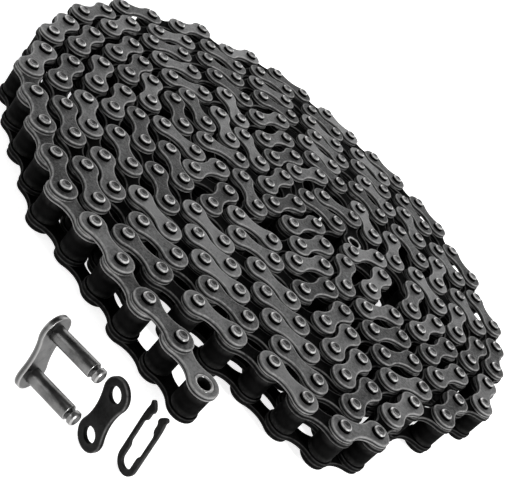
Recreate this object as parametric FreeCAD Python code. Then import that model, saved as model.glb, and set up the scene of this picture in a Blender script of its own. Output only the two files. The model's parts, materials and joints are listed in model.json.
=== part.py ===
import FreeCAD, Part
import math
import os

# A half-inch-pitch roller chain, ten feet long, wound flat into a disk, with the loose pieces of
# its connecting link standing beside it. Millimetres, +Z up. Every pin axis of the coil is along Z.
# The chain's levels run from the lower pin ends at z = 0 to the upper pin ends at PIN_LENGTH.

os.makedirs("parts", exist_ok=True)

# ---- driving dimensions (mm) ----
PITCH = 12.7                # half an inch, pin to pin
PIN_D = 3.97
PIN_LENGTH = 16.6           # over both riveted ends
PIN_TIP_R = 1.55            # flat left on the riveted end
PIN_ROUND = 0.55            # height of the rounded shoulder of a riveted end
PIN_DIMPLE_R = 0.55         # centre mark of the riveting punch
PIN_DIMPLE_DEPTH = 0.3
BUSH_BORE_D = 4.05          # 0.04 radial running clearance on the pin
BUSH_OD = 5.63
ROLLER_BORE_D = 5.75        # 0.06 radial running clearance on the bushing
ROLLER_D = 7.92
INNER_WIDTH = 7.9           # between the inner plates
ROLLER_LENGTH = 7.6
PLATE_T = 1.5
PLATE_GAP = 0.1             # between an inner and an outer plate, each side
INNER_R = 4.45              # end radius of an inner plate
INNER_WAIST = 2.5           # half width of its waist
OUTER_R = 4.1               # end radius of an outer plate
OUTER_WAIST = 2.3
EDGE_BREAK = 0.22           # rolled edge of a blanked plate
SIDE_GAP = 0.35             # least air between neighbouring wraps

# connecting link
KIT_WAIST = 2.95            # half width of its two plates' waist, fuller than the chain's own
COVER_T = 1.3
COVER_BORE_D = 4.03         # 0.03 radial running clearance on the pin
CLIP_T = 0.9
CLIP_PIN_LENGTH = 17.6      # from the riveted end to the grooved tip
CLIP_PIN_GROOVE_D = 2.9
CLIP_PIN_TIP_D = 3.6        # beyond the groove
CLIP_OUTER_R = 3.4          # outside of the clip's closed end
CLIP_INNER_R = 1.8          # inside of it
CLIP_ARM = 1.05             # width of its arms between the two pins
CLIP_TIP = 3.7              # how far its arms reach past the second pin

# How each loose piece stands on the floor, on its rounded end: where its lower hole is (pitches, in
# the lay below), the heading of its hole axis, how far that axis rises, and how far the piece leans
# about it (degrees).
LINK_STAND = (-1.375, -7.11, -17.4, 9.7, -3.2)
COVER_STAND = (0.13, -7.265, -121.0, 0.0, 8.0)
CLIP_STAND = (0.93, -7.095, -124.0, 0.0, 9.5)

ORIGIN = (-0.1278, 1.0693)   # the middle of the whole layout, in the pitches of the lay below

FREE_INNER = 5              # inner links in the free tail
FREE_OUTER = 4

# ---- how the chain lies: both pins of each outer link, in pitches, from the free end inward ----
# Each row is about a quarter of a wrap. The wraps run clockwise seen from above.
LAY_START = (1.17, -5.05)
LAY = [
    (0.25, -4.6, -0.75, -4.4), (-1.65, -4.0, -2.55, -3.55), (-3.45, -3.3, -4.25, -2.7),
    (-5.0, -1.95, -5.7, -1.15), (-6.25, -0.35, -6.6, 0.6), (-6.95, 1.6, -7.1, 2.5),
    (-7.15, 3.5, -7.0, 4.4), (-6.75, 5.2, -6.35, 6.05), (-5.8, 6.8, -5.15, 7.5),
    (-4.45, 8.05, -3.6, 8.55), (-2.8, 8.9, -1.85, 9.1), (-0.9, 9.2, 0.05, 9.2),
    (1.0, 9.1, 2.0, 8.95), (2.95, 8.7, 3.75, 8.2), (4.55, 7.6, 5.3, 6.95),
    (5.8, 6.2, 6.4, 5.4), (6.7, 4.55, 6.9, 3.6), (6.85, 2.7, 6.65, 1.75),
    (6.25, 0.95, 5.8, 0.15), (5.25, -0.6, 4.85, -1.5), (4.55, -2.35, 3.85, -3.05),
    (2.95, -3.2, 1.95, -3.15), (1.0, -3.15, 0.05, -3.25), (-0.95, -3.25, -1.95, -3.05),

    (-2.8, -2.7, -3.65, -2.2), (-4.4, -1.5, -5.15, -0.8), (-5.75, 0.05, -6.0, 1.0),
    (-6.3, 1.9, -6.5, 2.9), (-6.4, 3.8, -6.15, 4.7), (-5.7, 5.5, -5.15, 6.25),
    (-4.6, 7.0, -3.8, 7.5), (-2.95, 8.05, -2.1, 8.4), (-1.2, 8.45, -0.2, 8.45),
    (0.75, 8.4, 1.7, 8.3), (2.55, 7.95, 3.35, 7.5), (4.1, 7.0, 4.85, 6.4),
    (5.4, 5.6, 5.95, 4.8), (6.25, 3.9, 6.2, 2.95), (5.9, 2.05, 5.5, 1.25),
    (5.1, 0.4, 4.55, -0.35), (4.15, -1.2, 3.85, -2.15), (2.95, -2.5, 2.0, -2.45),

    (1.05, -2.4, 0.1, -2.5), (-0.9, -2.5, -1.9, -2.3), (-2.85, -2.0, -3.65, -1.45),
    (-4.35, -0.75, -4.95, 0.05), (-5.3, 0.95, -5.55, 1.95), (-5.75, 2.85, -5.65, 3.8),
    (-5.45, 4.7, -4.95, 5.5), (-4.35, 6.25, -3.55, 6.6), (-2.8, 7.3, -1.95, 7.7),
    (-1.1, 7.8, -0.05, 7.75), (0.85, 7.8, 1.85, 7.6), (2.7, 7.35, 3.5, 6.8),
    (4.2, 6.1, 4.6, 5.25), (5.35, 4.6, 5.55, 3.7), (5.45, 2.75, 5.1, 1.9),
    (4.65, 1.05, 4.15, 0.3), (3.7, -0.55, 3.45, -1.45), (2.6, -1.75, 1.65, -1.7),

    (0.65, -1.55, -0.35, -1.6), (-1.3, -1.55, -2.3, -1.1), (-3.1, -0.55, -3.85, 0.1),
    (-4.5, 0.9, -4.7, 1.85), (-5.05, 2.6, -5.15, 3.6), (-5.0, 4.45, -4.5, 5.25),
    (-3.9, 5.9, -3.0, 6.15), (-2.4, 6.85, -1.55, 7.35), (-0.6, 7.45, 0.4, 7.3),
    (1.25, 7.2, 2.3, 6.9), (2.9, 6.3, 3.65, 5.55), (3.95, 4.75, 4.7, 4.15),
    (4.95, 3.4, 4.65, 2.5), (4.25, 1.7, 3.55, 0.9), (3.15, 0.05, 2.85, -0.95),

    (1.95, -1.1, 0.95, -1.1), (0.0, -1.05, -0.95, -0.95), (-1.8, -0.85, -2.65, -0.3),
    (-3.4, 0.15, -4.0, 0.95), (-4.15, 1.9, -4.5, 2.85), (-4.35, 3.75, -3.85, 4.55),
    (-3.3, 5.3, -2.4, 4.8), (-2.35, 5.8, -1.6, 6.5), (-0.7, 6.6, 0.3, 6.5),
    (1.2, 6.4, 2.25, 6.2), (2.85, 5.5, 3.2, 4.6), (3.9, 4.0, 4.05, 3.0),
    (3.75, 2.15, 3.2, 1.35), (2.75, 0.6, 2.25, -0.25), (1.4, -0.55, 0.45, -0.6),

    (-0.55, -0.55, -1.55, -0.35), (-2.3, 0.3, -3.1, 0.9), (-3.55, 1.75, -2.55, 1.7),
    (-3.3, 2.4, -3.8, 3.15), (-2.75, 3.2, -3.6, 3.8), (-2.75, 4.2, -2.1, 3.5),
    (-1.1, 3.45, -1.75, 4.15), (-0.8, 4.15, -0.7, 5.05), (-1.65, 4.85, -1.2, 5.7),
    (-0.35, 6.0, 0.7, 5.7), (1.6, 5.7, 2.4, 5.0), (2.3, 4.15, 2.1, 3.2),
    (3.05, 3.3, 2.95, 2.3), (2.45, 1.55, 2.15, 2.5), (1.7, 1.65, 1.05, 0.9),

    (2.05, 0.95, 1.55, 0.1), (0.6, -0.05, -0.35, -0.15), (-1.3, 0.15, -1.3, 1.1),
    (-2.25, 0.75, -1.85, 1.7), (-2.6, 2.4, -1.7, 2.85), (-0.75, 2.85, -0.3, 3.75),
    (0.05, 3.0, -0.35, 2.1), (-1.35, 2.2, -0.65, 1.5), (-0.65, 0.55, 0.35, 0.75),
    (0.75, 1.55, 1.4, 2.4), (0.4, 2.25, 0.85, 3.2), (1.5, 3.6, 0.45, 3.75),
    (0.2, 4.6, -0.05, 5.55), (0.9, 5.1, 1.65, 4.5),
]
LAY_END = (2.0, 3.9)


# ---- laying the chain ----
def sample_radii(kind):
    """Half widths of a plate at its ends, quarters and middle, in pitches."""
    end = (INNER_R if kind == "inner" else OUTER_R) / PITCH
    waist = (INNER_WAIST if kind == "inner" else OUTER_WAIST) / PITCH
    return ((0.0, end), (0.25, 0.5 * (end + waist) - 0.01), (0.5, waist),
            (0.75, 0.5 * (end + waist) - 0.01), (1.0, end))


def first_guess():
    """All pin centres in order, from the free end inward."""
    points = [list(LAY_START)]
    for x1, y1, x2, y2 in LAY:
        points.append([x1, y1])
        points.append([x2, y2])
    points.append(list(LAY_END))
    return points


def close_pairs(points, reach):
    """Pairs of links whose middles are near each other, leaving out links that share a pin."""
    middles = []
    for a, b in zip(points, points[1:]):
        middles.append((0.5 * (a[0] + b[0]), 0.5 * (a[1] + b[1])))
    cells = {}
    for i, (x, y) in enumerate(middles):
        cells.setdefault((int(x // reach), int(y // reach)), []).append(i)
    pairs = []
    for i, (x, y) in enumerate(middles):
        cx, cy = int(x // reach), int(y // reach)
        for dx in (-1, 0, 1):
            for dy in (-1, 0, 1):
                for j in cells.get((cx + dx, cy + dy), []):
                    if j > i + 1 and math.hypot(middles[j][0] - x, middles[j][1] - y) < reach:
                        pairs.append((i, j))
    return pairs


def set_length(points, i, strength):
    """Moves the two ends of link i toward being one pitch apart."""
    a, b = points[i], points[i + 1]
    dx, dy = b[0] - a[0], b[1] - a[1]
    d = math.hypot(dx, dy)
    move = 0.5 * strength * (d - 1.0) / d
    a[0] += dx * move
    a[1] += dy * move
    b[0] -= dx * move
    b[1] -= dy * move


def part_links(points, i, j, gap):
    """Pushes links i and j apart where plates of one level would come closer than the gap."""
    same_level = (i - j) % 2 == 0
    kind = "inner" if i % 2 == 0 else "outer"
    mine = sample_radii(kind)
    if same_level:
        other = mine
    else:
        mine = ((0.0, INNER_R / PITCH), (1.0, INNER_R / PITCH))
        other = mine
    for s, r in mine:
        for t, q in other:
            if same_level or (s in (0.0, 1.0) and t in (0.0, 1.0)):
                apart(points, i, s, j, t, r + q + gap)


def apart(points, i, s, j, t, least):
    a, b, c, d = points[i], points[i + 1], points[j], points[j + 1]
    px = a[0] * (1 - s) + b[0] * s
    py = a[1] * (1 - s) + b[1] * s
    qx = c[0] * (1 - t) + d[0] * t
    qy = c[1] * (1 - t) + d[1] * t
    dx, dy = qx - px, qy - py
    dist = math.hypot(dx, dy)
    if dist >= least or dist < 1e-9:
        return
    weight = (1 - s) ** 2 + s ** 2 + (1 - t) ** 2 + t ** 2
    push = (least - dist) / dist / weight
    for p, w in ((a, 1 - s), (b, s)):
        p[0] -= dx * push * w
        p[1] -= dy * push * w
    for p, w in ((c, 1 - t), (d, t)):
        p[0] += dx * push * w
        p[1] += dy * push * w


def settle(points):
    """Lets the laid chain settle until every link is one pitch long and no plates meet."""
    home = [list(p) for p in points]
    gap = (SIDE_GAP + 0.1) / PITCH
    for turn in range(700):
        hold = 0.03 if turn < 400 else 0.0
        if turn % 20 == 0:
            pairs = close_pairs(points, 2.0)
        for p, h in zip(points, home):
            p[0] += hold * (h[0] - p[0])
            p[1] += hold * (h[1] - p[1])
        for i, j in pairs:
            part_links(points, i, j, gap)
        for sweep in range(4):
            for i in range(len(points) - 1):
                set_length(points, i, 1.0)
            for i in range(len(points) - 2, -1, -1):
                set_length(points, i, 1.0)
    return exact_steps(points)


def exact_steps(points):
    """Sets every link to exactly one pitch, working both ways from the middle."""
    middle = len(points) // 2
    out = [None] * len(points)
    out[middle] = list(points[middle])
    for step, end in ((1, len(points)), (-1, -1)):
        for i in range(middle + step, end, step):
            last = out[i - step]
            dx = points[i][0] - points[i - step][0]
            dy = points[i][1] - points[i - step][1]
            d = math.hypot(dx, dy)
            out[i] = [last[0] + dx / d, last[1] + dy / d]
    return out


# ---- solids ----
LEVELS = {
    "outer_lower": 0.5 * PIN_LENGTH - 0.5 * INNER_WIDTH - PLATE_T - PLATE_GAP - PLATE_T,
    "inner_lower": 0.5 * PIN_LENGTH - 0.5 * INNER_WIDTH - PLATE_T,
    "inner_upper": 0.5 * PIN_LENGTH + 0.5 * INNER_WIDTH,
    "outer_upper": 0.5 * PIN_LENGTH + 0.5 * INNER_WIDTH + PLATE_T + PLATE_GAP,
}


def vec(x, y, z=0.0):
    return FreeCAD.Vector(x, y, z)


def plate_blank(end_r, waist, thickness):
    """A plate with its first pin at the origin and its second at +X, from z = 0 up."""
    half = 0.5 * PITCH
    hollow = (half ** 2 + waist ** 2 - end_r ** 2) / (2.0 * (end_r - waist))
    cy = waist + hollow
    reach = math.hypot(half, cy)
    tx = half * end_r / reach
    ty = cy * end_r / reach
    left = Part.Arc(vec(tx, ty), vec(-end_r, 0), vec(tx, -ty))
    bottom = Part.Arc(vec(tx, -ty), vec(half, -waist), vec(PITCH - tx, -ty))
    right = Part.Arc(vec(PITCH - tx, -ty), vec(PITCH + end_r, 0), vec(PITCH - tx, ty))
    top = Part.Arc(vec(PITCH - tx, ty), vec(half, waist), vec(tx, ty))
    wire = Part.Wire([a.toShape() for a in (left, bottom, right, top)])
    blank = Part.Face(wire).extrude(vec(0, 0, thickness))
    rims = []
    for edge in blank.Edges:
        box = edge.BoundBox
        if box.ZLength < 1e-6:
            rims.append(edge)
    return blank.makeFillet(EDGE_BREAK, rims)


def plate(end_r, waist, bore_d, thickness=PLATE_T):
    """A blanked plate with its two holes."""
    shape = plate_blank(end_r, waist, thickness)
    for x in (0.0, PITCH):
        hole = Part.makeCylinder(0.5 * bore_d, thickness + 2.0, vec(x, 0, -1.0))
        shape = shape.cut(hole)
    return shape


def turned(profile):
    """A solid of revolution about +Z from (radius, height) points, closed on the axis if it starts
    and ends there."""
    points = [vec(r, 0, z) for r, z in profile]
    wire = Part.makePolygon(points + [points[0]])
    return Part.Face(wire).revolve(vec(0, 0, 0), vec(0, 0, 1), 360)


def riveted_end(z_tip, up):
    """Profile of a riveted pin end from the shoulder to the axis; up is +1 at the top end."""
    shoulder = z_tip - up * PIN_ROUND
    middle_r = 0.5 * PIN_D - 0.14
    return [
        (0.5 * PIN_D, shoulder),
        (middle_r, z_tip - up * 0.3),
        (PIN_TIP_R, z_tip),
        (PIN_DIMPLE_R, z_tip),
        (0.0, z_tip - up * PIN_DIMPLE_DEPTH),
    ]


def chain_pin():
    top = riveted_end(PIN_LENGTH, 1)
    bottom = riveted_end(0.0, -1)
    return turned(list(reversed(bottom)) + top)


def bushing():
    low = LEVELS["inner_lower"]
    high = LEVELS["inner_upper"] + PLATE_T
    c = 0.2
    return turned([
        (0.5 * BUSH_BORE_D, low + c), (0.5 * BUSH_BORE_D + c, low), (0.5 * BUSH_OD, low),
        (0.5 * BUSH_OD, high), (0.5 * BUSH_BORE_D + c, high), (0.5 * BUSH_BORE_D, high - c),
    ])


def roller():
    low = 0.5 * (PIN_LENGTH - ROLLER_LENGTH)
    high = low + ROLLER_LENGTH
    c = 0.35
    return turned([
        (0.5 * ROLLER_BORE_D, low), (0.5 * ROLLER_D - c, low), (0.5 * ROLLER_D, low + c),
        (0.5 * ROLLER_D, high - c), (0.5 * ROLLER_D - c, high), (0.5 * ROLLER_BORE_D, high),
    ])


def at_pin(shape, p):
    copy = shape.copy()
    copy.Placement = FreeCAD.Placement(vec(p[0], p[1]), FreeCAD.Rotation(vec(0, 0, 1), 0))
    return copy


def on_link(shape, a, b, z):
    """A plate moved onto the link from pin a to pin b at a level."""
    angle = math.degrees(math.atan2(b[1] - a[1], b[0] - a[0]))
    copy = shape.copy()
    turn = FreeCAD.Rotation(vec(0, 0, 1), angle)
    copy.Placement = FreeCAD.Placement(vec(a[0], a[1], z), turn)
    return copy


def save(name, shapes):
    shape = shapes[0] if len(shapes) == 1 else Part.makeCompound(shapes)
    shape.exportStep("parts/" + name + ".step")
    print(name, len(shape.Solids), "solids", round(shape.Volume, 1), "mm3", shape.isValid())


# ---- the connecting link: each piece is drawn with its hole axis along +X, its length up ----
def stood_up(shape):
    """Turns a plate lying along +X with its thickness up into one standing on its end, with its
    thickness along +X. Its lower pin hole comes to the origin."""
    copy = shape.copy()
    copy.rotate(vec(0, 0, 0), vec(0, 1, 0), -90)
    return copy


def foot(end_r, thickness, edge, rise):
    """How far the lowest point of a standing piece lies below the middle of its lower hole."""
    tilt = math.radians(rise)
    disc = (end_r - edge) * math.cos(tilt)
    side = (0.5 * thickness - edge) * abs(math.sin(tilt))
    return disc + side + edge


def stand(shape, place, height):
    """Leans, tilts and turns a standing piece, and puts its lower hole at its place and height."""
    x, y, heading, rise, lean = place
    copy = shape.copy()
    copy.rotate(vec(0, 0, 0), vec(1, 0, 0), lean)
    copy.rotate(vec(0, 0, 0), vec(0, 1, 0), -rise)
    copy.rotate(vec(0, 0, 0), vec(0, 0, 1), heading)
    copy.translate(vec((x - ORIGIN[0]) * PITCH, (y - ORIGIN[1]) * PITCH, height))
    return copy


def connecting_pin():
    """Riveted in the link plate at one end, grooved for the clip at the other. Along +X."""
    closed = INNER_WIDTH + 2.0 * PLATE_T + 2.0 * PLATE_GAP
    seat = 0.5 * PLATE_T + closed + COVER_T + 0.03
    groove_end = seat + CLIP_T + 0.1
    start = -0.5 * PLATE_T - 1.25
    end = start + CLIP_PIN_LENGTH
    r = 0.5 * PIN_D
    tip_r = 0.5 * CLIP_PIN_TIP_D
    body = turned([
        (0.0, start + PIN_DIMPLE_DEPTH), (PIN_DIMPLE_R, start), (PIN_TIP_R, start),
        (r - 0.14, start + 0.3), (r, start + PIN_ROUND), (r, seat), (0.5 * CLIP_PIN_GROOVE_D, seat),
        (0.5 * CLIP_PIN_GROOVE_D, groove_end), (tip_r, groove_end), (tip_r, end - 0.4),
        (tip_r - 0.4, end), (0.0, end),
    ])
    body.rotate(vec(0, 0, 0), vec(0, 1, 0), 90)
    return body


def spring_clip():
    """A flat U of spring steel lying along +X: thick round the groove of the pin at the origin, thin
    between the pins, and with thick heads that snap round the groove of the other pin."""
    r_out = CLIP_OUTER_R
    r_in = CLIP_INNER_R
    thin = r_out - CLIP_ARM
    grip = 0.5 * CLIP_PIN_GROOVE_D + 0.04
    tip = PITCH + CLIP_TIP
    upper = [
        (0.0, r_out), (PITCH - 1.0, r_out), (PITCH + 1.3, r_out - 0.15), (PITCH + 2.3, r_out - 0.3),
        (tip - 0.6, r_out), (tip, r_out - 0.45), (tip - 0.1, r_out - 1.0), (PITCH + 2.3, 1.1),
        (PITCH + 1.3, 1.0), (PITCH + 0.6, grip), (PITCH - 1.1, grip), (PITCH - 2.1, thin - 0.05),
        (PITCH - 3.0, thin), (4.2, thin), (3.2, r_in), (0.0, r_in),
    ]
    points = [vec(x, y) for x, y in upper]
    mirrored = [vec(x, -y) for x, y in reversed(upper)]
    edges = []
    for a, b in zip(points, points[1:]):
        edges.append(Part.makeLine(a, b))
    edges.append(Part.Arc(points[-1], vec(-r_in, 0), mirrored[0]).toShape())
    for a, b in zip(mirrored, mirrored[1:]):
        edges.append(Part.makeLine(a, b))
    edges.append(Part.Arc(mirrored[-1], vec(-r_out, 0), points[0]).toShape())
    return Part.Face(Part.Wire(edges)).extrude(vec(0, 0, CLIP_T))


def build_kit():
    height = foot(OUTER_R, PLATE_T, EDGE_BREAK, LINK_STAND[3])
    blank = plate(OUTER_R, KIT_WAIST, PIN_D)
    blank.translate(vec(0, 0, -0.5 * PLATE_T))
    save("connecting_link_plate", [stand(stood_up(blank), LINK_STAND, height)])
    pin = connecting_pin()
    for name, up in (("connecting_link_pin_lower", 0.0), ("connecting_link_pin_upper", PITCH)):
        copy = pin.copy()
        copy.translate(vec(0, 0, up))
        save(name, [stand(copy, LINK_STAND, height)])
    height = foot(OUTER_R, COVER_T, EDGE_BREAK, COVER_STAND[3])
    cover = plate(OUTER_R, KIT_WAIST, COVER_BORE_D, COVER_T)
    cover.translate(vec(0, 0, -0.5 * COVER_T))
    save("cover_plate", [stand(stood_up(cover), COVER_STAND, height)])
    height = foot(CLIP_OUTER_R, CLIP_T, 0.0, CLIP_STAND[3])
    clip = spring_clip()
    clip.translate(vec(0, 0, -0.5 * CLIP_T))
    save("spring_clip", [stand(stood_up(clip), CLIP_STAND, height)])


def build_chain(pins):
    inner = plate(INNER_R, INNER_WAIST, BUSH_OD)
    outer = plate(OUTER_R, OUTER_WAIST, PIN_D)
    pin = chain_pin()
    bush = bushing()
    roll = roller()
    coil = {
        "coil_outer_plates_upper": [], "coil_outer_plates_lower": [],
        "coil_inner_plates_upper": [], "coil_inner_plates_lower": [],
        "coil_pins": [], "coil_bushings": [], "coil_rollers": [],
    }
    for k in range(len(pins) - 1):
        a, b = pins[k], pins[k + 1]
        number = k // 2 + 1
        if k % 2 == 0:
            plates = (on_link(inner, a, b, LEVELS["inner_upper"]),
                      on_link(inner, a, b, LEVELS["inner_lower"]))
            rounds = (("bushing", bush), ("roller", roll))
            kind, free = "inner", number <= FREE_INNER
        else:
            plates = (on_link(outer, a, b, LEVELS["outer_upper"]),
                      on_link(outer, a, b, LEVELS["outer_lower"]))
            rounds = (("pin", pin),)
            kind, free = "outer", number <= FREE_OUTER
        if free:
            link = "%s_link_%d_" % (kind, number)
            save(link + "plate_upper", [plates[0]])
            save(link + "plate_lower", [plates[1]])
            for what, shape in rounds:
                save(link + what + "_a", [at_pin(shape, a)])
                save(link + what + "_b", [at_pin(shape, b)])
        else:
            coil["coil_%s_plates_upper" % kind].append(plates[0])
            coil["coil_%s_plates_lower" % kind].append(plates[1])
            for what, shape in rounds:
                coil["coil_%ss" % what] += [at_pin(shape, a), at_pin(shape, b)]
    for name, shapes in coil.items():
        save(name, shapes)


def main():
    pins = []
    for x, y in settle(first_guess()):
        pins.append(((x - ORIGIN[0]) * PITCH, (y - ORIGIN[1]) * PITCH))
    build_chain(pins)
    build_kit()


main()
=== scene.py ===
import json
import math
import random

import bmesh
import bpy
import numpy as np
from mathutils import Matrix, Vector


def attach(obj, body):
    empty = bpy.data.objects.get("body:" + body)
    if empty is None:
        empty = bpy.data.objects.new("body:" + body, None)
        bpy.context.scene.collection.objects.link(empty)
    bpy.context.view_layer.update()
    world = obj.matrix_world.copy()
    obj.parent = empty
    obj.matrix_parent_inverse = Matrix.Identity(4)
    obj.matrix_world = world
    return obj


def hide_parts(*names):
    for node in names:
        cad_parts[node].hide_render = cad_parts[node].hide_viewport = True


# A half-inch-pitch roller chain wound flat, with the loose pieces of its connecting link. Metres, in
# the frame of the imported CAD. Where each piece lies is read from the CAD nodes; the sizes in MM are
# the ones the chain is made to.

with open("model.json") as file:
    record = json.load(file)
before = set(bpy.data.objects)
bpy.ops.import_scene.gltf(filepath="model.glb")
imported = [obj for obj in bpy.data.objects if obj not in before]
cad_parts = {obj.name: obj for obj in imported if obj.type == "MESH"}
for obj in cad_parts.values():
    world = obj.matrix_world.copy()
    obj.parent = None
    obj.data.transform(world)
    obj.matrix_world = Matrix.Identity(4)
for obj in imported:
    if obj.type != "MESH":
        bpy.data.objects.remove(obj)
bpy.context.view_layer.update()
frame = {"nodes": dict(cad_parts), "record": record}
MM = 0.001
PITCH = 12.7 * MM
PIN_R = 1.985 * MM
INNER_R, INNER_WAIST = 4.45 * MM, 2.5 * MM
OUTER_R, OUTER_WAIST = 4.1 * MM, 2.3 * MM
BUSH_R, BUSH_BORE_R = 2.815 * MM, 2.025 * MM
ROLLER_R, ROLLER_BORE_R = 3.96 * MM, 2.875 * MM
COVER_BORE_R = 2.015 * MM
KIT_WAIST = 2.95 * MM
PLATE_T = 1.5 * MM
COVER_T = 1.3 * MM
CLIP_T = 0.9 * MM
CLIP_R = 3.4 * MM
WEAR_HIGHLIGHT_BAND = 0.3 * MM
ROLLED_EDGE = 0.3 * MM
SHARP_EDGE = 0.16 * MM
HOLE_EDGE = 0.12 * MM
CLIP_EDGE = 0.14 * MM
SHEAR_STEP = 0.03 * MM
END_STEPS, WAIST_STEPS, HOLE_STEPS = 22, 14, 28
BUSH_STEPS, ROLLER_STEPS = 28, 36
PIN_STEPS, LOOSE_PIN_STEPS = 32, 48
CLIP_SMOOTHING = 3
SWEEP_STEPS, COVE_STEPS = 64, 8
ANY_TURN = 6.28
MID_TINT = 0.5
# an object of the visual model stays under this many triangles
MOST_FACES = 190000


# ---- meshes, kept as arrays so that one template serves every link ----
class Shape:
    """Vertices, faces, and for each face whether it is smooth. For each vertex, an edge mask is 1 on a
    rubbed edge, which gets rubbed wear and a painted highlight, and side is 1 on a sheared side, which
    gets painted shade."""

    def __init__(self):
        self.points, self.faces, self.smooth, self.wear, self.side = [], [], [], [], []

    def ring(self, loop, wear=0.0, side=0.0):
        """Adds a loop of points and gives their numbers."""
        first = len(self.points)
        self.points += [tuple(p) for p in loop]
        self.wear += [wear] * len(loop)
        self.side += [side] * len(loop)
        return list(range(first, first + len(loop)))

    def bridge(self, low, high):
        """Joins two rings of the same length with smooth faces."""
        n = len(low)
        for i in range(n):
            j = (i + 1) % n
            self.faces.append((low[i], low[j], high[j], high[i]))
            self.smooth.append(True)

    def cap(self, loops, up):
        """Fills a flat region between an outer loop and its holes."""
        bm = bmesh.new()
        where = {}
        for loop in loops:
            made = [bm.verts.new(self.points[i]) for i in loop]
            for v, i in zip(made, loop):
                where[v] = i
            for k, v in enumerate(made):
                bm.edges.new((v, made[(k + 1) % len(made)]))
        bmesh.ops.triangle_fill(bm, use_beauty=True, use_dissolve=False, edges=bm.edges[:])
        for f in bm.faces:
            ids = [where[v] for v in f.verts]
            if (f.normal.z > 0) != up:
                ids.reverse()
            self.faces.append(tuple(ids))
            self.smooth.append(False)
        bm.free()


def plate_outline(end_r, waist, inset):
    """The figure-eight outline, anticlockwise, its first pin at the origin and its second at +X. waist
    is half its width at the middle."""
    half = 0.5 * PITCH
    hollow = (half ** 2 + waist ** 2 - end_r ** 2) / (2.0 * (end_r - waist))
    cy = waist + hollow
    phi = math.atan2(cy, half)
    r, h = end_r - inset, hollow + inset
    out = []
    for k in range(END_STEPS):
        a = phi + (2 * math.pi - 2 * phi) * k / END_STEPS
        out.append((r * math.cos(a), r * math.sin(a)))
    for k in range(WAIST_STEPS):
        a = math.pi - phi + (2 * phi - math.pi) * k / WAIST_STEPS
        out.append((half + h * math.cos(a), -cy + h * math.sin(a)))
    for k in range(END_STEPS):
        a = phi - math.pi + (2 * math.pi - 2 * phi) * k / END_STEPS
        out.append((PITCH + r * math.cos(a), r * math.sin(a)))
    for k in range(WAIST_STEPS):
        a = -phi + (2 * phi - math.pi) * k / WAIST_STEPS
        out.append((half + h * math.cos(a), cy + h * math.sin(a)))
    return out


def circle(cx, r, steps, z):
    """A level ring of points round (cx, 0)."""
    out = []
    for k in range(steps):
        a = 2 * math.pi * k / steps
        out.append((cx + r * math.cos(a), r * math.sin(a), z))
    return out


def plate_shape(end_r, waist, bore_r, thickness, turned=False, loose=False):
    """A blanked plate: rolled edge on one face, sharper on the other, with the slight step that
    blanking leaves half way down its side, and two broken-edged holes. Its rolled edge is on its
    upper face unless it is turned."""
    s = Shape()
    low_edge, high_edge = (ROLLED_EDGE, SHARP_EDGE) if turned else (SHARP_EDGE, ROLLED_EDGE)
    rings = []
    if loose:
        # both faces of a loose plate can be seen, so both end their band of rubbed wear and painted
        # highlight
        rings.append((low_edge + WEAR_HIGHLIGHT_BAND, 0.0, 0.0, 0.0))
    for k in range(4):
        a = 0.5 * math.pi * k / 3
        d = low_edge * (1 - math.sin(a))
        rings.append((d, low_edge * (1 - math.cos(a)), 1.0 if k in (1, 2) else 0.6, 0.0))
    # the sheared side is marked for painted shade
    rings.append((0.0, thickness * 0.42, 0.0, 1.0))
    rings.append((SHEAR_STEP, thickness * 0.47, 0.25, 1.0))
    rings.append((SHEAR_STEP, thickness * 0.56, 0.0, 1.0))
    for k in range(5):
        a = 0.5 * math.pi * k / 4
        d = high_edge * (1 - math.cos(a))
        wear = (0.2, 0.7, 1.0, 1.0, 0.7)[k]
        rings.append((d, thickness - high_edge * (1 - math.sin(a)), wear, 0.0))
    # a second loop just inside the upper face keeps its shading flat and ends the band of rubbed wear
    # and painted highlight
    rings.append((high_edge + WEAR_HIGHLIGHT_BAND, thickness, 0.0, 0.0))
    made = []
    for d, z, wear, side in rings:
        made.append(s.ring([(x, y, z) for x, y in plate_outline(end_r, waist, d)], wear, side))
    for a, b in zip(made, made[1:]):
        s.bridge(a, b)
    tops, bottoms = [made[-1]], [made[0]]
    for cx in (0.0, PITCH):
        # the bore walls are marked for painted shade, their broken edges for rubbed wear and a painted
        # highlight
        low = s.ring(circle(cx, bore_r + HOLE_EDGE, HOLE_STEPS, 0.0), 0.1, 0.5)
        low2 = s.ring(circle(cx, bore_r, HOLE_STEPS, HOLE_EDGE), 0.3, 1.0)
        high2 = s.ring(circle(cx, bore_r, HOLE_STEPS, thickness - HOLE_EDGE), 0.3, 1.0)
        high = s.ring(circle(cx, bore_r + HOLE_EDGE, HOLE_STEPS, thickness), 0.1, 0.7)
        face = s.ring(circle(cx, bore_r + HOLE_EDGE + WEAR_HIGHLIGHT_BAND, HOLE_STEPS, thickness), 0.0, 0.0)
        for a, b in ((face, high), (high, high2), (high2, low2), (low2, low)):
            s.bridge(a, b)
        tops.append(face)
        bottoms.append(low)
    s.cap(tops, True)
    s.cap(bottoms, False)
    return s


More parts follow.
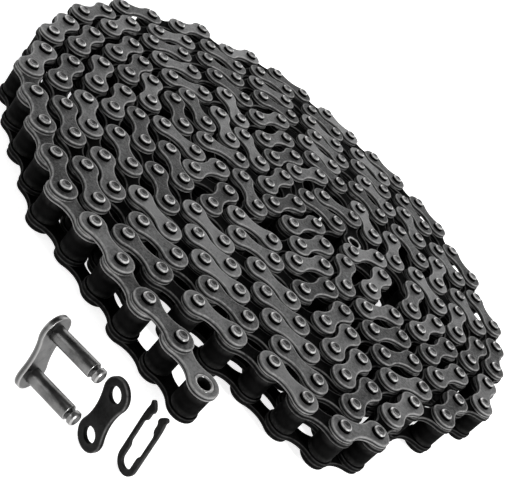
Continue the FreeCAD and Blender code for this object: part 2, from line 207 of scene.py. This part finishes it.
def lathe(profile, steps, wear=None, side=None, closed=False):
    """Turns (radius, height) points about Z, from the bottom up on the outside. A point on the axis
    closes an end; closed joins the last ring to the first, as for a sleeve."""
    s = Shape()
    rings = []
    for k, (r, z) in enumerate(profile):
        w = wear[k] if wear else 0.0
        d = side[k] if side else 0.0
        if r <= 1e-9:
            rings.append(s.ring([(0.0, 0.0, z)], w, d))
        else:
            rings.append(s.ring(circle(0.0, r, steps, z), w, d))
    pairs = list(zip(rings, rings[1:]))
    if closed:
        pairs.append((rings[-1], rings[0]))
    for a, b in pairs:
        if len(a) == 1:
            for i in range(len(b)):
                s.faces.append((a[0], b[(i + 1) % len(b)], b[i]))
                s.smooth.append(True)
        elif len(b) == 1:
            for i in range(len(a)):
                s.faces.append((a[i], a[(i + 1) % len(a)], b[0]))
                s.smooth.append(True)
        else:
            s.bridge(a, b)
    return s


def pin_end(z_tip, up):
    """A riveted end from its shoulder to the axis, domed, with the mark that the punch leaves: rows of
    radius, height, edge mask (rubbed wear and painted highlight) and side mask (painted shade)."""
    d = -up * MM
    return [
        (PIN_R, z_tip + d * 0.72, 0.0, 1.0), (PIN_R - 0.03 * MM, z_tip + d * 0.56, 0.1, 1.0),
        (PIN_R - 0.12 * MM, z_tip + d * 0.4, 0.3, 0.8), (PIN_R - 0.26 * MM, z_tip + d * 0.24, 0.9, 0.2),
        (PIN_R - 0.42 * MM, z_tip + d * 0.12, 1.0, 0.0), (PIN_R - 0.6 * MM, z_tip + d * 0.03, 0.5, 0.0),
        (PIN_R - 0.74 * MM, z_tip, 0.05, 0.0), (0.98 * MM, z_tip + d * 0.02, 0.0, 0.0),
        (0.82 * MM, z_tip + d * 0.12, 0.1, 0.0), (0.5 * MM, z_tip + d * 0.17, 0.0, 0.0),
        (0.2 * MM, z_tip + d * 0.24, 0.0, 0.0), (0.0, z_tip + d * 0.25, 0.0, 0.0),
    ]


def lathe_rows(rows, steps, closed=False):
    """Turns rows of radius, height, edge mask (rubbed wear and painted highlight) and side mask (painted
    shade) about Z.
    """
    radius, height, wear, side = zip(*rows)
    return lathe(list(zip(radius, height)), steps, wear, side, closed)


def pin_shape(z0, z1):
    """A riveted pin between two heights."""
    return lathe_rows(list(reversed(pin_end(z0, -1))) + pin_end(z1, 1), PIN_STEPS)


def sleeve_shape(r_in, r_out, z0, z1, c_out, c_in, steps):
    """A tube with rounded corners, for a roller or a bushing. c_out and c_in are the sizes of its outer
    and inner corners."""
    rows = [
        (r_in, z0 + c_in, 0.3), (r_in + c_in, z0, 0.5), (r_out - c_out, z0, 0.4),
        (r_out - 0.3 * c_out, z0 + 0.3 * c_out, 0.9), (r_out, z0 + c_out, 0.6),
        (r_out, z0 + c_out + 0.25 * (z1 - z0 - 2 * c_out), 0.05), (r_out, 0.5 * (z0 + z1), 0.12),
        (r_out, z1 - c_out - 0.25 * (z1 - z0 - 2 * c_out), 0.05), (r_out, z1 - c_out, 0.6),
        (r_out - 0.3 * c_out, z1 - 0.3 * c_out, 0.9), (r_out - c_out, z1, 0.4),
        (r_in + c_in, z1, 0.5), (r_in, z1 - c_in, 0.3),
    ]
    # the outer wall and the bore count as sides and get painted shade, the corners and ends don't
    side = [1.0 if 4 <= k <= 8 or k in (0, 12) else 0.0 for k in range(len(rows))]
    return lathe_rows([row + (d,) for row, d in zip(rows, side)], steps, closed=True)


def assemble(name, shape_list, node, body, materials):
    """One object from (shape, matrix, tint) entries, standing for a CAD node. A second material, which
    paints shade, goes on its sheared sides."""
    points, faces, smooth, wear, side, tint = [], [], [], [], [], []
    base = 0
    for shape, matrix, colour in shape_list:
        p = np.array(shape.points)
        m = np.array(matrix)
        p = p @ m[:3, :3].T + m[:3, 3]
        points.append(p)
        faces += [tuple(i + base for i in f) for f in shape.faces]
        smooth += shape.smooth
        wear += shape.wear
        side += shape.side
        tint += [colour] * len(shape.points)
        base += len(shape.points)
    points = np.concatenate(points)
    mesh = bpy.data.meshes.new(name)
    mesh.from_pydata(points.tolist(), [], faces)
    mesh.polygons.foreach_set("use_smooth", smooth)
    for key, values in (("wear", wear), ("side", side), ("tint", tint)):
        layer = mesh.attributes.new(key, "FLOAT", "POINT")
        layer.data.foreach_set("value", np.array(values, np.float32))
    mesh.update()
    mesh.validate()
    obj = bpy.data.objects.new(name, mesh)
    bpy.context.scene.collection.objects.link(obj)
    for mat in materials:
        mesh.materials.append(mat)
    if len(materials) > 1:
        # faces wholly on a sheared side take the material that paints shade there
        sides = [1 if min(side[i] for i in face) > 0.75 else 0 for face in faces]
        mesh.polygons.foreach_set("material_index", sides)
    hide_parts(node)
    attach(obj, body)


# ---- reading the CAD nodes ----
def islands(node):
    """The vertex coordinates of each separate solid of a CAD node."""
    mesh = frame["nodes"][node].data
    n = len(mesh.vertices)
    co = np.empty(n * 3)
    mesh.vertices.foreach_get("co", co)
    co = co.reshape(-1, 3)
    key = {}
    same = np.empty(n, int)
    for i, p in enumerate(np.round(co * 1e7).astype(np.int64).tolist()):
        same[i] = key.setdefault(tuple(p), len(key))
    parent = list(range(len(key)))

    def root(i):
        while parent[i] != i:
            parent[i] = parent[parent[i]]
            i = parent[i]
        return i

    ends = np.empty(len(mesh.edges) * 2, int)
    mesh.edges.foreach_get("vertices", ends)
    for a, b in same[ends].reshape(-1, 2).tolist():
        ra, rb = root(a), root(b)
        if ra != rb:
            parent[ra] = rb
    groups = {}
    for i in range(n):
        groups.setdefault(root(same[i]), []).append(i)
    return [co[g] for g in groups.values()]


def centre(co):
    return 0.5 * (co.min(0) + co.max(0))


def round_places(node):
    """Axis and heights of each round piece of a node: x, y, bottom, top."""
    out = []
    for co in islands(node):
        c = centre(co)
        out.append((c[0], c[1], co[:, 2].min(), co[:, 2].max()))
    return sorted(out)


def plate_places(node):
    """Each plate of a node: x and y of its middle, its heading and its lower face's height. The
    plate's long way is found from how its points spread."""
    out = []
    for co in islands(node):
        xy = np.unique(np.round(co[:, :2], 7), axis=0)
        angle = best_heading(xy)
        d = np.array((math.cos(angle), math.sin(angle)))
        e = np.array((-d[1], d[0]))
        along, across = xy @ d, xy @ e
        mid = d * 0.5 * (along.min() + along.max()) + e * 0.5 * (across.min() + across.max())
        out.append((mid[0], mid[1], angle, co[:, 2].min()))
    return sorted(out)


def best_heading(xy):
    """The direction in which the points are longest for their width, refined to a small part of a
    degree."""
    low, high, best = 0.0, math.pi, 0.0
    for _ in range(5):
        steps = np.linspace(low, high, 61)
        reach = [np.ptp(xy @ np.array((math.cos(a), math.sin(a)))) for a in steps]
        width = [np.ptp(xy @ np.array((-math.sin(a), math.cos(a)))) for a in steps]
        k = int(np.argmax(np.array(reach) - np.array(width)))
        best = steps[k]
        span = (high - low) / 30
        low, high = best - span, best + span
    return best


def plate_matrix(place):
    """From a plate's own frame, first pin at the origin, to where it lies."""
    x, y, angle, z0 = place
    m = Matrix.Translation((x, y, z0)) @ Matrix.Rotation(angle, 4, "Z")
    return m @ Matrix.Translation((-0.5 * PITCH, 0, 0))


def round_matrix(place, turn):
    return Matrix.Translation((place[0], place[1], 0.0)) @ Matrix.Rotation(turn, 4, "Z")


# ---- finishes ----
class Nodes:
    """Short names for building a material's nodes."""

    def __init__(self, name):
        self.mat = bpy.data.materials.new(name)
        self.mat.use_nodes = True
        self.tree = self.mat.node_tree
        self.bsdf = self.tree.nodes["Principled BSDF"]
        self.coord = self.tree.nodes.new("ShaderNodeTexCoord").outputs["Object"]

    def add(self, kind, inputs=(), **settings):
        node = self.tree.nodes.new(kind)
        for key, value in settings.items():
            setattr(node, key, value)
        for key, value in dict(inputs).items():
            if isinstance(value, bpy.types.NodeSocket):
                self.tree.links.new(value, node.inputs[key])
            else:
                node.inputs[key].default_value = value
        return node

    def noise(self, scale, detail=3.0, rough=0.55, stretch=None):
        coord = self.coord
        if stretch:
            coord = self.add("ShaderNodeMapping", {"Vector": coord, "Scale": stretch}).outputs[0]
        return self.add("ShaderNodeTexNoise", {"Vector": coord, "Scale": scale, "Detail": detail,
                                               "Roughness": rough}).outputs["Fac"]

    def attribute(self, name):
        return self.add("ShaderNodeAttribute", attribute_name=name).outputs["Fac"]

    def spread(self, value, low, high, to_low, to_high):
        node = self.add("ShaderNodeMapRange", {"Value": value, "From Min": low, "From Max": high,
                                               "To Min": to_low, "To Max": to_high})
        return node.outputs["Result"]

    def math(self, operation, a, b):
        return self.add("ShaderNodeMath", {0: a, 1: b}, operation=operation).outputs[0]

    def mix(self, factor, a, b):
        node = self.add("ShaderNodeMix", {"Factor": factor}, data_type="RGBA")
        for socket, value in ((node.inputs[6], a), (node.inputs[7], b)):
            if isinstance(value, bpy.types.NodeSocket):
                self.tree.links.new(value, socket)
            else:
                socket.default_value = value
        return node.outputs[2]

    def link(self, value, socket):
        self.tree.links.new(value, self.bsdf.inputs[socket])


def grey(v, warm=0.0):
    return (v * (1 + warm), v, v * (1 - warm), 1.0)


def black_oxide(name, face, side_shade, worn_highlight, rough, grain, shine, metallic=0.0):
    """Blacked steel: mottled on its faces, with painted shade on its sheared sides, and bright on its
    edges from rubbed wear and a painted rim highlight. face, the side shade and the edge grey are the
    greys of those three, rough is the lowest and highest roughness, grain the depth of the bump and
    shine the specular level."""
    n = Nodes(name)
    cloud = n.noise(240.0, 3.0, 0.6)
    mottle = n.noise(1100.0, 4.0, 0.7)
    fine = n.noise(2600.0, 2.0, 0.5)
    tint = n.attribute("tint")
    level = n.math("ADD", n.math("MULTIPLY", mottle, 0.55),
                   n.math("ADD", n.math("MULTIPLY", cloud, 0.2), n.math("MULTIPLY", tint, 0.25)))
    base = n.mix(n.spread(level, 0.36, 0.62, 0.0, 1.0), grey(face * 0.2, 0.01), grey(face * 1.8, 0.0))
    base = n.mix(n.spread(fine, 0.56, 0.7, 0.0, 0.5), base, grey(face * 2.4, 0.01))
    # painted shade on the sheared sides
    base = n.mix(n.attribute("side"), base, grey(side_shade))
    # brighter edges: rubbed wear and a painted rim highlight
    patch = n.spread(n.noise(700.0, 3.0, 0.65), 0.3, 0.6, 0.25, 1.0)
    base = n.mix(n.math("MULTIPLY", n.attribute("wear"), patch), base, grey(worn_highlight, 0.01))
    n.link(base, "Base Color")
    n.bsdf.inputs["Metallic"].default_value = metallic
    n.bsdf.inputs["Specular IOR Level"].default_value = shine
    n.link(n.spread(level, 0.36, 0.62, rough[1], rough[0]), "Roughness")
    height = n.math("ADD", n.math("MULTIPLY", fine, 0.35), n.math("MULTIPLY", mottle, 0.65))
    bump = n.add("ShaderNodeBump", {"Height": height, "Strength": grain, "Distance": 0.0003})
    n.link(bump.outputs[0], "Normal")
    return n.mat


def bare_steel(name):
    """Ground steel with fine turning marks and a few dull patches, painted shade on its marked sides and
    groove, and rubbed wear with a painted highlight on its edges.
    """
    n = Nodes(name)
    cloud = n.noise(320.0, 4.0, 0.6)
    lines = n.noise(420.0, 3.0, 0.7, stretch=(9.0, 1.0, 1.0))
    fine = n.noise(3200.0, 2.0, 0.5)
    base = n.mix(n.spread(cloud, 0.35, 0.65, 0.0, 1.0), grey(0.05, 0.004), grey(0.15, 0.006))
    base = n.mix(n.spread(lines, 0.35, 0.7, 0.0, 0.45), base, grey(0.12, 0.01))
    # painted shade on the marked sides and in the groove
    base = n.mix(n.math("MULTIPLY", n.attribute("side"), 0.7), base, grey(0.03))
    # brighter edges: rubbed wear and a painted highlight
    base = n.mix(n.math("MULTIPLY", n.attribute("wear"), 0.7), base, grey(0.5, 0.01))
    n.link(base, "Base Color")
    n.bsdf.inputs["Metallic"].default_value = 0.95
    n.link(n.spread(cloud, 0.3, 0.7, 0.24, 0.42), "Roughness")
    height = n.math("ADD", n.math("MULTIPLY", lines, 0.6), n.math("MULTIPLY", fine, 0.4))
    bump = n.add("ShaderNodeBump", {"Height": height, "Strength": 0.2, "Distance": 0.0001})
    n.link(bump.outputs[0], "Normal")
    return n.mat


# Below, the sheared-side, inner-plate, lower-plate and roller finishes are darker copies of the outer
# plates' black oxide that stand for painted shade; each worn grey is partly rubbed wear and partly a
# painted highlight.
SHADED_SIDE_MAT = black_oxide("Painted shade sheared side", 0.002, 0.001, 0.03, (0.6, 0.8), 0.1, 0.015)
OUTER_MAT = black_oxide("Black oxide outer plate", 0.062, 0.002, 0.32, (0.42, 0.72), 0.45, 0.4)
SHADED_INNER_MAT = black_oxide("Black oxide inner plate in painted shade", 0.0025, 0.001, 0.14, (0.55, 0.8), 0.4, 0.008)
SHADED_LOWER_MAT = black_oxide("Black oxide lower plate in painted shade", 0.003, 0.001, 0.05, (0.5, 0.75), 0.2, 0.015)
# the pin's bright edge grey is mostly a painted highlight on the domed rim, partly rubbed wear
PIN_MAT = black_oxide("Black oxide pin", 0.02, 0.003, 0.85, (0.2, 0.34), 0.25, 0.22, 0.35)
SHADED_ROLLER_MAT = black_oxide("Black oxide roller in painted shade", 0.003, 0.001, 0.015, (0.4, 0.6), 0.1, 0.03)
COVER_MAT = black_oxide("Black oxide cover plate", 0.006, 0.002, 0.12, (0.35, 0.5), 0.15, 0.04)
CLIP_MAT = black_oxide("Blued spring steel", 0.003, 0.002, 0.05, (0.3, 0.45), 0.12, 0.02)
BARE_MAT = bare_steel("Bare steel")


# ---- the chain ----
random.seed(40)
INNER = plate_shape(INNER_R, INNER_WAIST, BUSH_R, PLATE_T)
INNER_TURNED = plate_shape(INNER_R, INNER_WAIST, BUSH_R, PLATE_T, turned=True)
OUTER = plate_shape(OUTER_R, OUTER_WAIST, PIN_R, PLATE_T)
OUTER_TURNED = plate_shape(OUTER_R, OUTER_WAIST, PIN_R, PLATE_T, turned=True)


def body_of_node(node):
    for body, nodes in frame["record"]["behaviour"]["bodies"].items():
        if node in nodes:
            return body
    raise KeyError(node)


def build_node(node):
    """The visual pieces for one CAD node, chosen by what the node is called: one, or a few where
    many solids share the node."""
    body = body_of_node(node)
    parts = []
    if "plate" in node:
        inner, upper = "inner" in node, "upper" in node
        for place in plate_places(node):
            if inner:
                shape = INNER if upper else INNER_TURNED
            else:
                shape = OUTER if upper else OUTER_TURNED
            parts.append((shape, plate_matrix(place), random.random()))
        # plates below the upper ones take a darker copy of the plate finish: painted shade
        mat, slot = SHADED_LOWER_MAT, "black_oxide_plate"
        if upper:
            # the free end's inner plates lie in the light, so they are as grey as outer plates; the
            # coil's inner plates take a darker copy of that finish as painted shade
            mat = SHADED_INNER_MAT if node.startswith("coil_inner") else OUTER_MAT
    elif "pin" in node:
        places = round_places(node)
        shape = pin_shape(places[0][2], places[0][3])
        for place in places:
            parts.append((shape, round_matrix(place, random.uniform(0, ANY_TURN)), random.random()))
        mat, slot = PIN_MAT, "turned_black_steel"
    elif "bushing" in node:
        places = round_places(node)
        shape = sleeve_shape(BUSH_BORE_R, BUSH_R, places[0][2], places[0][3], 0.12 * MM, 0.2 * MM,
                             BUSH_STEPS)
        for place in places:
            parts.append((shape, round_matrix(place, random.uniform(0, ANY_TURN)), random.random()))
        mat, slot = PIN_MAT, "turned_black_steel"
    else:
        places = round_places(node)
        shape = sleeve_shape(ROLLER_BORE_R, ROLLER_R, places[0][2], places[0][3], 0.4 * MM, 0.15 * MM,
                             ROLLER_STEPS)
        for place in places:
            parts.append((shape, round_matrix(place, random.uniform(0, ANY_TURN)), random.random()))
        # rollers take a darker copy of the plate finish: painted shade between the plates
        mat, slot = SHADED_ROLLER_MAT, "turned_black_steel"
    faces = sum(len(face) - 2 for face in parts[0][0].faces)
    groups = math.ceil(len(parts) * faces / MOST_FACES)
    share = math.ceil(len(parts) / groups)
    for k in range(groups):
        name = "vis_" + node + ("_%d" % (k + 1) if groups > 1 else "")
        assemble(name, parts[k * share:(k + 1) * share], node, body, [mat, SHADED_SIDE_MAT])


for name in sorted(frame["nodes"]):
    if name.startswith(("coil_", "inner_link", "outer_link")):
        build_node(name)


# ---- the loose connecting link ----
def smooth_loop(points, steps):
    """A closed curve through the points, rounded, as a list of (x, y)."""
    out = []
    n = len(points)
    for i in range(n):
        p0, p1, p2, p3 = (points[(i + k - 1) % n] for k in range(4))
        for k in range(steps):
            t = k / steps
            q = []
            for a, b, c, d in zip(p0, p1, p2, p3):
                q.append(0.5 * (2 * b + (c - a) * t + (2 * a - 5 * b + 4 * c - d) * t * t
                                + (3 * b - a - 3 * c + d) * t ** 3))
            out.append(tuple(q))
    return out


def inset_loop(points, d):
    """Moves an anticlockwise loop inwards by d along its normals."""
    out = []
    n = len(points)
    for i in range(n):
        a, b = points[i - 1], points[(i + 1) % n]
        tx, ty = b[0] - a[0], b[1] - a[1]
        size = math.hypot(tx, ty) or 1.0
        out.append((points[i][0] - ty / size * d, points[i][1] + tx / size * d))
    return out


def clip_outline():
    """The clip's outline in its own plane, closed end round the origin, arms along +X, anticlockwise."""
    r_out, r_in, thin, grip = CLIP_R / MM, 1.8, 2.35, 1.5
    p = PITCH / MM
    half = [
        (0.0, r_out), (1.5, r_out), (4.5, r_out), (8.0, r_out), (p - 1.0, r_out),
        (p + 1.3, r_out - 0.16),
        (p + 2.2, r_out - 0.3), (p + 2.9, r_out - 0.1), (p + 3.3, r_out - 0.1), (p + 3.62, r_out - 0.5),
        (p + 3.55, r_out - 0.95), (p + 3.0, 1.75), (p + 2.3, 1.16), (p + 1.8, 1.04), (p + 1.3, 1.06),
        (p + 0.75, 1.42), (p + 0.2, grip), (p - 0.7, grip + 0.02), (p - 1.4, grip + 0.2),
        (p - 2.1, thin - 0.1), (p - 2.9, thin), (8.0, thin), (5.0, thin), (4.1, thin - 0.04),
        (3.3, r_in + 0.1), (2.7, r_in), (1.2, r_in), (0.0, r_in),
    ]
    inner_arc, outer_arc = [], []
    for k in range(1, 12):
        a = math.pi * k / 12
        inner_arc.append((-r_in * math.sin(a), r_in * math.cos(a)))
        outer_arc.append((-r_out * math.sin(a), -r_out * math.cos(a)))
    loop = half + inner_arc + [(x, -y) for x, y in reversed(half)] + outer_arc
    loop = [(x * MM, y * MM) for x, y in loop]
    loop.reverse()
    return smooth_loop(loop, CLIP_SMOOTHING)


def clip_shape():
    """A flat clip stamped from spring strip, its edges tumbled."""
    s = Shape()
    outline = clip_outline()
    rings = []
    for k in range(3):
        a = 0.5 * math.pi * k / 2
        z = CLIP_EDGE * (1 - math.cos(a))
        rings.append((CLIP_EDGE * (1 - math.sin(a)), z, (0.3, 1.0, 0.6)[k]))
    for k in range(3):
        a = 0.5 * math.pi * k / 2
        z = CLIP_T - CLIP_EDGE * (1 - math.sin(a))
        rings.append((CLIP_EDGE * (1 - math.cos(a)), z, (0.6, 1.0, 0.3)[k]))
    # the tumbled edges carry rubbed wear and a painted highlight
    made = [s.ring([(x, y, z) for x, y in inset_loop(outline, d)], wear) for d, z, wear in rings]
    for a, b in zip(made, made[1:]):
        s.bridge(a, b)
    s.cap([made[-1]], True)
    s.cap([made[0]], False)
    return s


def turn_of(heading, rise, lean):
    """How a loose piece stands: the heading of its hole axis, how far that rises, and how far the
    piece leans about it. Its own X is the hole axis and its own Z its length."""
    turn = Matrix.Rotation(math.radians(heading), 4, "Z")
    turn = turn @ Matrix.Rotation(math.radians(-rise), 4, "Y")
    return turn @ Matrix.Rotation(math.radians(lean), 4, "X")


def own_box(node, turn):
    """Lowest and highest corner of a CAD node along its own axes."""
    co = np.array([v.co for v in frame["nodes"][node].data.vertices])
    own = co @ np.array(turn.to_3x3())
    return Vector(own.min(0)), Vector(own.max(0))


def standing(node, turn, end_r):
    """The matrix that stands a flat piece, drawn along +X from its lower hole with its thickness up,
    where its CAD node stands."""
    lo, hi = own_box(node, turn)
    return turn @ Matrix((
        (0.0, 0.0, -1.0, hi.x),
        (0.0, 1.0, 0.0, 0.5 * (lo.y + hi.y)),
        (1.0, 0.0, 0.0, lo.z + end_r),
        (0.0, 0.0, 0.0, 1.0),
    ))


def lying(node, turn):
    """The matrix that lays a turned piece, drawn up +Z, along the connecting pins where its CAD node
    lies, and the node's length."""
    lo, hi = own_box(node, turn)
    return turn @ Matrix((
        (0.0, 0.0, 1.0, lo.x),
        (0.0, 1.0, 0.0, 0.5 * (lo.y + hi.y)),
        (-1.0, 0.0, 0.0, 0.5 * (lo.z + hi.z)),
        (0.0, 0.0, 0.0, 1.0),
    )), hi.x - lo.x


def grooved_pin(length):
    """A pin of the connecting link, along +Z from its riveted end."""
    # the groove starts where the cover plate ends: rivet, link plate, inner link, cover, play
    seat = (1.25 + 1.5 + 11.1 + 1.3 + 0.03) * MM
    groove, width, tip = 1.45 * MM, 1.0 * MM, 1.8 * MM
    head = list(reversed(pin_end(0.0, -1)))
    # the last column paints shade where the pin leaves the link plate and in the groove; the one before
    # it gives rubbed wear and a painted highlight on the edges
    rows = head + [
        (PIN_R, 2.4 * MM, 0.0, 0.6), (PIN_R, 3.2 * MM, 0.1, 0.5), (PIN_R, 5.5 * MM, 0.2, 0.0),
        (PIN_R, 9.0 * MM, 0.0, 0.1), (PIN_R, seat - 0.12 * MM, 0.2, 0.0),
        (PIN_R - 0.05 * MM, seat - 0.03 * MM, 1.0, 0.0), (PIN_R - 0.14 * MM, seat, 0.6, 0.0),
        (groove + 0.06 * MM, seat, 0.0, 1.0), (groove, seat + 0.06 * MM, 0.0, 1.0),
        (groove, seat + width - 0.06 * MM, 0.0, 1.0), (groove + 0.06 * MM, seat + width, 0.0, 1.0),
        (tip - 0.1 * MM, seat + width, 0.6, 0.0), (tip - 0.03 * MM, seat + width + 0.05 * MM, 1.0, 0.0),
        (tip, seat + width + 0.14 * MM, 0.3, 0.0), (tip, length - 0.42 * MM, 0.3, 0.0),
        (tip - 0.05 * MM, length - 0.32 * MM, 1.0, 0.0), (tip - 0.37 * MM, length - 0.04 * MM, 0.9, 0.0),
        (tip - 0.45 * MM, length, 0.4, 0.0), (0.8 * MM, length, 0.1, 0.0), (0.0, length, 0.0, 0.0),
    ]
    return lathe_rows(rows, LOOSE_PIN_STEPS)


LINK_TURN = turn_of(-17.4, 9.7, -3.2)
COVER_TURN = turn_of(-121.0, 0.0, 8.0)
CLIP_TURN = turn_of(-124.0, 0.0, 9.5)
LINK_PLATE = plate_shape(OUTER_R, KIT_WAIST, PIN_R, PLATE_T, loose=True)
COVER = plate_shape(OUTER_R, KIT_WAIST, COVER_BORE_R, COVER_T, loose=True)
place = standing("connecting_link_plate", LINK_TURN, OUTER_R)
assemble("vis_connecting_link_plate", [(LINK_PLATE, place, MID_TINT)], "connecting_link_plate",
         "connecting_link", [BARE_MAT])
for name in ("connecting_link_pin_lower", "connecting_link_pin_upper"):
    place, length = lying(name, LINK_TURN)
    assemble("vis_" + name, [(grooved_pin(length), place, MID_TINT)], name, "connecting_link",
             [BARE_MAT])
place = standing("cover_plate", COVER_TURN, OUTER_R)
assemble("vis_cover_plate", [(COVER, place, MID_TINT)], "cover_plate", "cover_plate",
         [COVER_MAT, SHADED_SIDE_MAT])
place = standing("spring_clip", CLIP_TURN, CLIP_R)
assemble("vis_spring_clip", [(clip_shape(), place, MID_TINT)], "spring_clip", "spring_clip",
         [CLIP_MAT, SHADED_SIDE_MAT])


# ---- floor, lights, camera ----
def studio_sweep():
    """A pale floor that curves up into a low wall all round, as in a photographer's sweep."""
    cove, wall_r, wall_top = 0.8, 4.0, 1.9
    profile = [(0.0, 0.0), (0.5, 0.0), (1.5, 0.0), (wall_r - cove, 0.0)]
    for k in range(1, COVE_STEPS + 1):
        a = 0.5 * math.pi * k / COVE_STEPS
        profile.append((wall_r - cove + cove * math.sin(a), cove * (1 - math.cos(a))))
    profile.append((wall_r, wall_top))
    shape = lathe(profile, SWEEP_STEPS)
    mesh = bpy.data.meshes.new("studio_sweep")
    mesh.from_pydata(shape.points, [], shape.faces)
    mesh.polygons.foreach_set("use_smooth", [True] * len(mesh.polygons))
    rise = mesh.attributes.new("rise", "FLOAT", "POINT")
    rise.data.foreach_set("value", np.array([min(1.0, p[2] / cove) for p in shape.points], np.float32))
    obj = bpy.data.objects.new("studio_sweep", mesh)
    bpy.context.scene.collection.objects.link(obj)
    n = Nodes("Studio floor")
    soft = n.noise(3.0, 2.0, 0.5)
    n.link(n.mix(soft, grey(0.84), grey(0.88)), "Base Color")
    n.bsdf.inputs["Roughness"].default_value = 0.9
    n.bsdf.inputs["Specular IOR Level"].default_value = 0.1
    n.bsdf.inputs["Emission Color"].default_value = (1, 1, 1, 1)
    n.link(n.spread(n.attribute("rise"), 0.0, 1.0, 0.82, 0.3), "Emission Strength")
    mesh.materials.append(n.mat)
    return obj


def softbox(name, place, width, height, power):
    """A rectangular light aimed at the middle of the chain."""
    data = bpy.data.lights.new(name, "AREA")
    data.shape = "RECTANGLE"
    data.size, data.size_y = width, height
    data.energy = power
    obj = bpy.data.objects.new(name, data)
    bpy.context.scene.collection.objects.link(obj)
    obj.location = place
    obj.rotation_mode = "QUATERNION"
    obj.rotation_quaternion = (-Vector(place)).to_track_quat("-Z", "Y")


studio_sweep()
softbox("back softbox", (-0.15, 1.3, 0.75), 1.6, 0.9, 9.0)
softbox("overhead softbox", (0.1, -0.1, 1.2), 0.9, 0.6, 1.2)
softbox("left softbox", (-1.1, -0.7, 0.5), 0.5, 0.5, 3.0)
softbox("right strip", (1.0, -0.45, 0.45), 0.24, 0.24, 12.0)

world = bpy.data.worlds.new("studio")
bpy.context.scene.world = world
world.use_nodes = True
background = world.node_tree.nodes["Background"]
background.inputs["Color"].default_value = (1, 1, 1, 1)
background.inputs["Strength"].default_value = 0.05

view = bpy.context.scene.view_settings
view.view_transform = "Standard"
view.look = "None"

# the camera looks down by tilt, and is rolled as the photograph's was
CAMERA_PLACE = (0.001623, -0.27370, 0.16203)
tilt, roll = math.radians(29.209), math.radians(41.471)
right = Vector((math.cos(roll), math.sin(roll) * math.sin(tilt), math.sin(roll) * math.cos(tilt)))
up = Vector((-math.sin(roll), math.cos(roll) * math.sin(tilt), math.cos(roll) * math.cos(tilt)))
back = Vector((0.0, -math.cos(tilt), math.sin(tilt)))
camera = bpy.data.objects.new("camera", bpy.data.cameras.new("camera"))
bpy.context.scene.collection.objects.link(camera)
camera.data.lens = 71.92
camera.data.sensor_width = 36.0
camera.data.clip_start, camera.data.clip_end = 0.01, 30.0
camera.matrix_world = Matrix((
    (right.x, up.x, back.x, CAMERA_PLACE[0]),
    (right.y, up.y, back.y, CAMERA_PLACE[1]),
    (right.z, up.z, back.z, CAMERA_PLACE[2]),
    (0.0, 0.0, 0.0, 1.0),
))
bpy.context.scene.camera = camera
